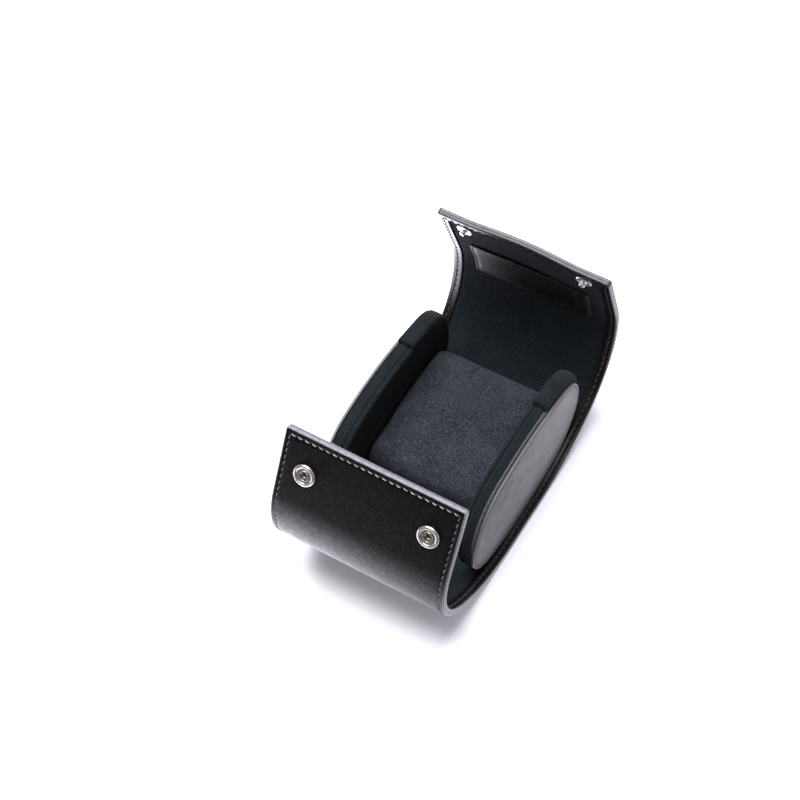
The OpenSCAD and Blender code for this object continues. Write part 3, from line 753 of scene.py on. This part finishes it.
# ---------------------------------------------------------------- cheeks
# Each cheek is an oval foam core in a microsuede wrap, glued up on the base. The wrap has a
# piped seam just inside its rim, and a thicker pad is sewn over the rear of the rim.
cheek_middle = (2.013, 33.0)
cheek_inner, wrap_outer = 29.5, 36.8
cheek_half_length, cheek_half_height, cheek_end = 50.0, 29.5, 27.0
end_offset = cheek_half_length - cheek_end
crown_offset = (end_offset**2 - (cheek_half_height - cheek_end) ** 2) / (2 * (cheek_half_height - cheek_end))
crown_radius = cheek_half_height + crown_offset
crown_turn = degrees(atan2(end_offset, crown_offset))
rim_recess = 1.0


def cheek_edge(angle):
    """The cheek's edge where it faces this angle (degrees, 0 to the back, 90 up): its place and its way outward."""
    angle = (angle + 180) % 360 - 180
    a = radians(angle)
    way = (cos(a), sin(a))
    if abs(abs(angle) - 90) <= crown_turn:
        sign = 1 if angle > 0 else -1
        centre, radius = (0.0, -sign * crown_offset), crown_radius
    else:
        centre, radius = (end_offset if abs(angle) < 90 else -end_offset, 0.0), cheek_end
    return centre[0] + radius * way[0], centre[1] + radius * way[1], way


def edge_angles(step, start=90.0, end=-270.0):
    """Angles round the edge, start to end, about this many mm apart."""
    angles, angle = [], start
    while angle > end + 1e-6:
        angles.append(angle)
        flat = abs(abs((angle + 180) % 360 - 180) - 90) < crown_turn - 0.01
        radius = crown_radius if flat else cheek_end
        following = angle - degrees(step / radius)
        for bound in (90 - crown_turn, -90 + crown_turn, -90 - crown_turn, -270 + crown_turn):
            if following < bound - 1e-6 < angle - 1e-5:
                following = bound
        angle = following
    return angles


def cheek_shell(name, side, angles, section, finishes, paints=None, closed=True):
    """A piece swept round a cheek's edge, from a section of (x, how far outside the edge) at each angle."""
    points = []
    for angle in angles:
        y, z, way = cheek_edge(angle)
        y, z = cheek_middle[0] + y, cheek_middle[1] + z
        line = section(angle)
        points += [(side * x / 1000, (y + grow * way[0]) / 1000, (z + grow * way[1]) / 1000) for x, grow in line]
    around, count = len(line), len(angles)
    if closed:
        faces = [
            (i * around + j, i * around + j + 1, (i + 1) % count * around + j + 1, (i + 1) % count * around + j)
            for i in range(count) for j in range(around - 1)
        ]
        faces += [tuple(i * around for i in range(count)), tuple(i * around + around - 1 for i in range(count))]
    else:
        faces = tube_faces(count, around)
    if paints:
        paints = [paints[i % (around - 1)] for i in range(len(faces) - 2)] + [0, 0]
    return whole_piece(name, points, faces, finishes, "case_base", paints)


def smooth_step(value, low, high):
    t = min(1.0, max(0.0, (value - low) / (high - low)))
    return t * t * (3 - 2 * t)


def rolled_over(angle, side):
    """How far the wrap rolls over a cheek's edge on to its outer face, most along the top and front (mm)."""
    return {"left": 0.5, "right": 4.0}[side] * smooth_step(sin(radians(angle - 30)), 0.0, 0.8)


round_steps = [0, 22, 45, 68, 90]
seam_drop = 0.15


def wrap_section(angle, side):
    """Across the wrap: from the middle of its inner face, over the rim, to the back of the panel."""
    y, z, way = cheek_edge(angle)
    rim = -rim_recess + rim_recess * smooth_step(-z, 12, 16)
    line = [(cheek_inner, rim - d) for d in (20, 14, 9, 5, 3)]
    inner_round, piping = 1.7, cheek_inner + 2.2
    line += rounding(cheek_inner + inner_round, rim - inner_round, -inner_round, inner_round, round_steps[:-1])
    line += [
        (piping + d, rim - 0.9 * exp(-((d / 0.36) ** 2)) - seam_drop * (d > 0.4))
        for d in (-0.6, -0.35, -0.15, 0, 0.15, 0.35, 0.6)
    ]
    soft = 0.5 + 0.75 * rolled_over(angle, side)
    width = wrap_outer - soft - piping - 0.7
    line += [
        (piping + 0.7 + width * t, rim - seam_drop + 0.3 * sin(pi * t) ** 0.8)
        for t in (0.12, 0.3, 0.5, 0.7, 0.88)
    ]
    line += rounding(wrap_outer - soft, rim - seam_drop - soft, soft, soft, round_steps[::-1])
    return line + [(wrap_outer, rim - 8)]


pad_front, pad_foot = 16.5, -12.0
pad_rise, pad_swell = 1.3, 2.2
pad_start = 90 - degrees(asin(pad_front / crown_radius))
pad_end = degrees(asin(pad_foot / cheek_end))


def pad_section(angle, from_end, side):
    """Round the rim pad's section at one place, drawn in at its ends."""
    soft = drawn_in(from_end, 1.0)
    rolled = rolled_over(angle, side)
    shoulder = smooth_step(angle, 5, 42)
    swell = pad_swell * shoulder * smooth_step(pad_start - angle, -10, 30)
    top, foot = pad_rise + swell - soft, -0.9
    rise = top - foot
    inner = cheek_inner + 0.4 * soft
    outer_edge = wrap_outer - 0.2 * soft + (0.9 * shoulder if side == "left" else 0)
    inner_round = 1.5
    line = [(inner, foot)]
    line += rounding(inner + inner_round, foot + rise * 0.35, -inner_round, rise * 0.65, round_steps)
    line += [
        (inner + (outer_edge - inner) * t, top + 0.16 * sin(pi * (t - 0.2) / 0.6)) for t in (0.3, 0.42, 0.52)
    ]
    corner, outer_foot = 1.1 + 0.5 * rolled, foot - 0.1 - 0.6 * rolled
    drop = top - outer_foot
    line += rounding(outer_edge - corner, outer_foot + drop * 0.35, corner, drop * 0.65, round_steps[::-1])
    return line + [(outer_edge, outer_foot)]


cheek_suede = suede_finish("cheek_suede", (0.007, 0.011, 0.014), (0.028, 0.037, 0.046))
# a darker copy of the cheek suede, painted shade for the wraps' inner faces between the cheeks and the cushion
shaded_inner_suede = suede_finish("shaded_inner_suede", (0.0025, 0.004, 0.005), (0.009, 0.0125, 0.0145))
padding = suede_finish("padding", (0.09, 0.09, 0.10), (0.16, 0.16, 0.17))
# the faces on each wrap's inner face take the painted shade
inner_shade_marks = [1] * 6 + [0] * 40
pad_angles = edge_angles(1.2, pad_start, pad_end) + [pad_end]
for distance in (0.05, 0.2, 0.5, 0.85):
    pad_angles += [pad_start - degrees(distance / crown_radius), pad_end + degrees(distance / cheek_end)]
pad_angles.sort(reverse=True)
for side, sign in (("left", -1), ("right", 1)):

    def pad_line(angle):
        front = radians(pad_start - angle) * crown_radius
        rear = radians(angle - pad_end) * cheek_end
        return pad_section(angle, min(front, rear), side)

    wrap = cheek_shell(
        f"{side}_cheek_wrap_cover", sign, edge_angles(1.3), lambda angle: wrap_section(angle, side),
        [cheek_suede, shaded_inner_suede], inner_shade_marks,
    )
    pad = cheek_shell(f"{side}_cheek_pad", sign, pad_angles, pad_line, [cheek_suede], closed=False)
    for piece, part in ((wrap, "wrap"), (pad, "rim_pad")):
        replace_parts(piece, f"{side}_cheek_{part}")
    finish_node(f"{side}_cheek_core", padding)

# ---------------------------------------------------------------- cheek panels
# The outer face of each cheek is a panel of grey-mauve satin leather. Its cut edge is left
# pale and stands a little proud of the wrap, and one row of small stitches runs inside it.
panel_inner, panel_outer = 36.9, 38.1
panel_row, cut_round = 1.5, 0.35


def panel_section(angle, side):
    """Across a panel: from its back, over the cut edge, to the middle of its face."""
    crown = panel_outer + 0.08
    line = [(panel_inner, -8), (panel_inner, -0.1), (panel_inner + 0.1, 0)]
    line += rounding(panel_outer - cut_round, -cut_round, cut_round, cut_round, [90, 60, 30])
    line += [
        (panel_outer, -cut_round), (panel_outer + 0.05, -0.8), (panel_outer + 0.06, -1.15), (panel_outer - 0.08, -1.35),
        (panel_outer - 0.14, -1.5), (panel_outer - 0.08, -1.65), (crown, -1.85),
    ]
    line += [
        (crown + 0.42 * (1 - (1 - (d - 1.85) / 24.15) ** 2), -d) for d in (2.4, 3.6, 5.5, 8, 11, 14, 17, 20, 23, 25.5)
    ]
    inset = rolled_over(angle, side)
    return [(x, grow - inset * smooth_step(grow, -16, -6)) for x, grow in line]


panel_leather, tree, shader = new_finish("panel_leather", (0.13, 0.125, 0.135), 0.36)
grain = placed_effect(tree, calf_grain, False, Pore_Scale=1500.0, Cloud_Scale=120.0)
at = node(tree, "SeparateXYZ", {0: place_in(tree, False)}).outputs
# the panel is painted lighter and glossier towards its upper back, a painted highlight where the light falls, on top of
# its grain's own clouds
back_and_up = math_node(tree, "ADD", at["Y"], at["Z"])
painted_light_upper_back = ranged(tree, back_and_up, 0.015, 0.095, interpolation_type="SMOOTHSTEP")
grain_and_painted_light = math_node(tree, "MULTIPLY_ADD", grain["Cloud"], 0.25, product(tree, painted_light_upper_back, 0.75))
feed(
    tree, shader, Base_Color=tint(tree, grain_and_painted_light, (0.05, 0.046, 0.053), (0.2, 0.19, 0.21)),
    Specular_IOR_Level=ranged(tree, painted_light_upper_back, 0, 1, 0.35, 0.75),
    Roughness=ranged(tree, grain["Cloud"], 0, 1, 0.46, 0.38),
)
relief(tree, shader, grain["Height"], 0.00004)


def fibre_finish(name, dark, light, roughness, scale, detail, rough, depth=None):
    """A raw or pulpy surface, mottled by its fibres."""
    made, tree, shader = new_finish(name, light, roughness)
    fibres = noise(tree, place_in(tree, False), scale, detail, rough)
    feed(tree, shader, Base_Color=tint(tree, fibres, dark, light))
    if depth:
        relief(tree, shader, fibres, depth)
    return made


cut_edge = fibre_finish("cut_edge", (0.20, 0.195, 0.21), (0.36, 0.35, 0.38), 0.5, 1600.0, 4.0, 0.7, 0.00012)
panel_thread = thread_finish("panel_thread", (0.15, 0.145, 0.155), (0.09, 0.085, 0.09), False)
panel_marks = [0, 1, 1, 1, 1, 1] + [0] * 20
for side, sign in (("left", -1), ("right", 1)):
    piece = cheek_shell(
        f"{side}_panel_leather", sign, edge_angles(1.3), lambda angle: panel_section(angle, side),
        [panel_leather, cut_edge], panel_marks,
    )
    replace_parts(piece, f"{side}_cheek_panel")
    sewn = []
    walk = edge_angles(0.1)
    travelled, due = 0.0, 0.0
    for a, b in zip(walk, walk[1:]):
        y, z, way = cheek_edge(a)
        y2, z2, way2 = cheek_edge(b)
        if travelled >= due:
            deep = panel_row + rolled_over(a, side)
            sewn.append((y - deep * way[0], z - deep * way[1], degrees(atan2(z2 - z, y2 - y))))
            due += 2.2
        travelled += hypot(y2 - y - panel_row * (way2[0] - way[0]), z2 - z - panel_row * (way2[1] - way[1]))
    places, bars = stitch_mesh(sewn, 1.5, 0.24, 0.06, 6 * sign)
    points = [
        (sign * (panel_outer - 0.06 + h) / 1000, (cheek_middle[0] + a) / 1000, (cheek_middle[1] + b) / 1000)
        for a, b, h in places
    ]
    whole_piece(f"{side}_panel_stitches", points, bars, [panel_thread], "case_base")

# ---------------------------------------------------------------- cradle
# A curved board of pulp card joins the cheeks low down and carries the cushion. It is covered
# in the cheeks' microsuede and glued between them, and it keeps the frame's own shape.
board_card = fibre_finish("board_card", (0.08, 0.075, 0.07), (0.16, 0.15, 0.14), 0.8, 500.0, 5.0, 0.5)
finish_node("cradle_board", board_card)
finish_node("cradle_cover", cheek_suede)

# ---------------------------------------------------------------- cushion
# The watch cushion is a tight pillow of foam and filling in a microsuede cover. It is made
# a little smaller than its room and swells between the cheeks when it is filled.
cushion_half = 29.1
cushion_front, cushion_back = -26.0, 44.0
cushion_top, cushion_crown, cushion_slope = 37.6, 1.6, 3.4 / 70
shoulder_round, foot_round, side_round = 8.0, 6.0, 3.0
room_middle = (cheek_middle[0], cheek_middle[1] + crown_offset)
room_radius = crown_radius - 3.2


def top_level(y, below):
    """The height of the cushion's sloping top, less this much."""
    return cushion_top + cushion_slope * (y - cushion_front) - below


def foot_level(y, above):
    """The height of the cradle's curved floor, plus this much."""
    return room_middle[1] - sqrt((room_radius - above) ** 2 - (y - room_middle[0]) ** 2)


def cushion_outline(inset):
    """The cushion's outline from the side: round shoulders, a crowned top and a foot that follows the cradle."""
    line = []
    for y, radius, start in (
        (cushion_front, shoulder_round, 180), (cushion_back, shoulder_round, 90),
        (cushion_back, foot_round, 0), (cushion_front, foot_round, 270),
    ):
        inward_y = y + copysign(radius, -y)
        level = top_level(inward_y, radius) if start in (180, 90) else foot_level(inward_y, radius)
        line += rounding(inward_y, level, radius - inset, radius - inset, [start - 90 * k / 8 for k in range(9)])
        if start in (90, 270):
            continue
        first, last = line[-1][0], cushion_back - shoulder_round if start == 180 else cushion_front + foot_round
        for t in np.linspace(0.08, 0.92, 12):
            y = first + (last - first) * t
            crown = cushion_crown * sin(pi * t)
            line.append((y, top_level(y, inset) + crown if start == 180 else foot_level(y, inset)))
    return line


sections = rounding(side_round - cushion_half, side_round, -side_round, -side_round, round_steps)
sections += [(x, 0.0) for x in np.linspace(-22, 22, 12)] + [(-x, g) for x, g in reversed(sections)]
cushion_points = []
for x, inset in sections:
    outline = cushion_outline(inset + 0.5)
    cushion_points += [(x / 1000, y / 1000, z / 1000) for y, z in outline]
cushion_faces, _ = outward(cushion_points, tube_faces(len(sections), len(outline)))
mesh = bpy.data.meshes.new("watch_cushion")
mesh.from_pydata(cushion_points, [], cushion_faces)
cushion = in_scene("watch_cushion", mesh)
bpy.context.view_layer.objects.active = cushion
cushion.select_set(True)


def settle(piece):
    """Applies the piece's modifiers to its mesh."""
    done = bpy.data.meshes.new_from_object(piece.evaluated_get(bpy.context.evaluated_depsgraph_get()))
    piece.modifiers.clear()
    piece.data = done


remesh = cushion.modifiers.new("skin", "REMESH")
remesh.mode, remesh.voxel_size = "VOXEL", 0.0035
settle(cushion)
most_swell = 0.0035
before = np.array([v.co for v in cushion.data.vertices])
cloth = cushion.modifiers.new("filling", "CLOTH").settings
cloth.quality = 6
cloth.mass = 0.25
cloth.tension_stiffness = cloth.compression_stiffness = 14
cloth.shear_stiffness, cloth.bending_stiffness = 6, 1.2
cloth.use_pressure = True
cloth.uniform_pressure_force = 4.0
cloth.effector_weights.gravity = 0
for at in range(1, 21):
    bpy.context.scene.frame_set(at)
settle(cushion)
bpy.context.scene.frame_set(1)
moved = np.array([v.co for v in cushion.data.vertices]) - before
far = np.linalg.norm(moved, axis=1)
moved *= np.minimum(1, most_swell / np.maximum(far, 1e-9))[:, None]
cushion.data.vertices.foreach_set("co", (before + moved).ravel())
# the filled cushion is fitted to its room, and its foot to the floor of the cradle
swell = np.array([v.co for v in cushion.data.vertices])
room_low = np.array([-cushion_half, cushion_front, 6.9]) / 1000
room_high = np.array([cushion_half, cushion_back, cushion_top + cushion_crown + 2.6]) / 1000
swell = room_low + (swell - swell.min(0)) * (room_high - room_low) / (swell.max(0) - swell.min(0))
across_room = swell[:, 1:] * 1000 - np.array(room_middle)
reach = np.linalg.norm(across_room, axis=1)
low = (swell[:, 2] < 0.02) & (reach > room_radius)
swell[low, 1:] = (np.array(room_middle) + across_room[low] * (room_radius / reach[low])[:, None]) / 1000
cushion.data.vertices.foreach_set("co", swell.ravel())
cushion.data.polygons.foreach_set("use_smooth", [True] * len(cushion.data.polygons))
softer = cushion.modifiers.new("softer", "SUBSURF")
softer.levels = softer.render_levels = 1
cushion.data.materials.append(suede_finish("cushion_suede", (0.008, 0.011, 0.016), (0.086, 0.096, 0.122)))
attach(cushion, "cushion")
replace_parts(cushion, "cushion_cover", "cushion_core")

# ---------------------------------------------------------------- studio
# A white floor under one large soft light overhead and to the left, with a weak fill from the
# right. Away from the case the floor is dark to reflections, as it is inside a light tent.
floor_mesh = bpy.data.meshes.new("floor")
floor_mesh.from_pydata([(-6, -6, 0), (6, -6, 0), (6, 6, 0), (-6, 6, 0)], [], [(0, 1, 2, 3)])
floor = in_scene("floor", floor_mesh)
paper, tree, shader = new_finish("paper", (0.93, 0.93, 0.94), 0.9, Specular_IOR_Level=0.0)
rays = node(tree, "LightPath").outputs
place = place_in(tree, False)
from_case = node(tree, "VectorMath", {0: place}, operation="LENGTH").outputs["Value"]
at = node(tree, "SeparateXYZ", {0: place}).outputs
lit = ranged(tree, from_case, 0.17, 0.5, 1.0, 0.08)
# near the case's front and left the floor glows to reflections only, a painted reflection light that is no lamp,
# brightening the reflections in the flap and the left edges
near_front = ranged(tree, at["Y"], -0.2, -0.112, 0.08, 1.0)
to_left = ranged(tree, at["X"], 0.065, -0.06, 0.15, 2.5)
mirrored = product(tree, near_front, to_left, lit, rays["Is Glossy Ray"])
kept_dark = product(tree, rays["Is Glossy Ray"], math_node(tree, "SUBTRACT", 1.0, near_front))
lit_diffuse = product(tree, lit, math_node(tree, "SUBTRACT", 1.0, kept_dark))
bright = math_node(tree, "MAXIMUM", rays["Is Camera Ray"], lit_diffuse)
feed(tree, shader, Base_Color=tint(tree, bright, (0, 0, 0), (0.92, 0.9, 0.96)))
horizon = product(tree, rays["Is Camera Ray"], ranged(tree, from_case, 0.25, 0.9, 0.14, 1.0))
seen = math_node(tree, "MULTIPLY_ADD", mirrored, 1.9, horizon)
glow = node(tree, "Emission", {"Color": (1, 0.96, 1.06, 1), "Strength": seen})
white = node(tree, "BsdfDiffuse", {"Color": tint(tree, rays["Is Camera Ray"], (0, 0, 0), (0.98, 0.95, 1))})
lifted = node(tree, "AddShader", {0: shader.outputs[0], 1: white.outputs[0]})
both = node(tree, "AddShader", {0: lifted.outputs[0], 1: glow.outputs[0]})
tree.links.new(both.outputs[0], tree.nodes["Material Output"].inputs["Surface"])
floor_mesh.materials.append(paper)

case_middle = (0, 0, 0.04)
for name, place, size, watts in (
    ("overhead_softbox", (-0.34, -0.06, 1.34), (0.9, 1.2), 21),
    ("side_softbox", (1.2, 0.1, 0.3), (0.7, 0.4), 1.0),
):
    light = bpy.data.lights.new(name, "AREA")
    light.shape, light.size, light.size_y = "RECTANGLE", size[0], size[1]
    light.energy = watts
    softbox = in_scene(name, light)
    softbox.location = place
    softbox.rotation_euler = (Vector(case_middle) - Vector(place)).to_track_quat("-Z", "Y").to_euler()

world = bpy.data.worlds.new("studio")
bpy.context.scene.world = world
world.use_nodes = True
tree = world.node_tree
rays = node(tree, "LightPath").outputs
way = node(tree, "SeparateXYZ", {0: node(tree, "TexCoord").outputs["Generated"]}).outputs
behind = ranged(tree, way["Y"], -0.35, 0.5, 0.05, 0.4)
shown = math_node(tree, "MAXIMUM", rays["Is Camera Ray"], rays["Is Transmission Ray"])
feed(
    tree, tree.nodes["Background"], Color=tint(tree, shown, (0.9, 0.91, 1.0), (1.0, 1.0, 1.0)),
    Strength=math_node(tree, "MAXIMUM", shown, behind),
)

camera_data = bpy.data.cameras.new("camera")
camera_data.lens, camera_data.sensor_width = 77.89, 36.0
camera = in_scene("camera", camera_data)
turn = Matrix.Identity(4)
for angle, axis in ((29.689, "Z"), (37.138, "X"), (0.783, "Z")):
    turn = turn @ Matrix.Rotation(radians(angle), 4, axis)
camera.matrix_world = Matrix.Translation((0.2037, -0.4020, 0.6580)) @ turn
bpy.context.scene.camera = camera
bpy.context.scene.view_settings.view_transform = "Standard"
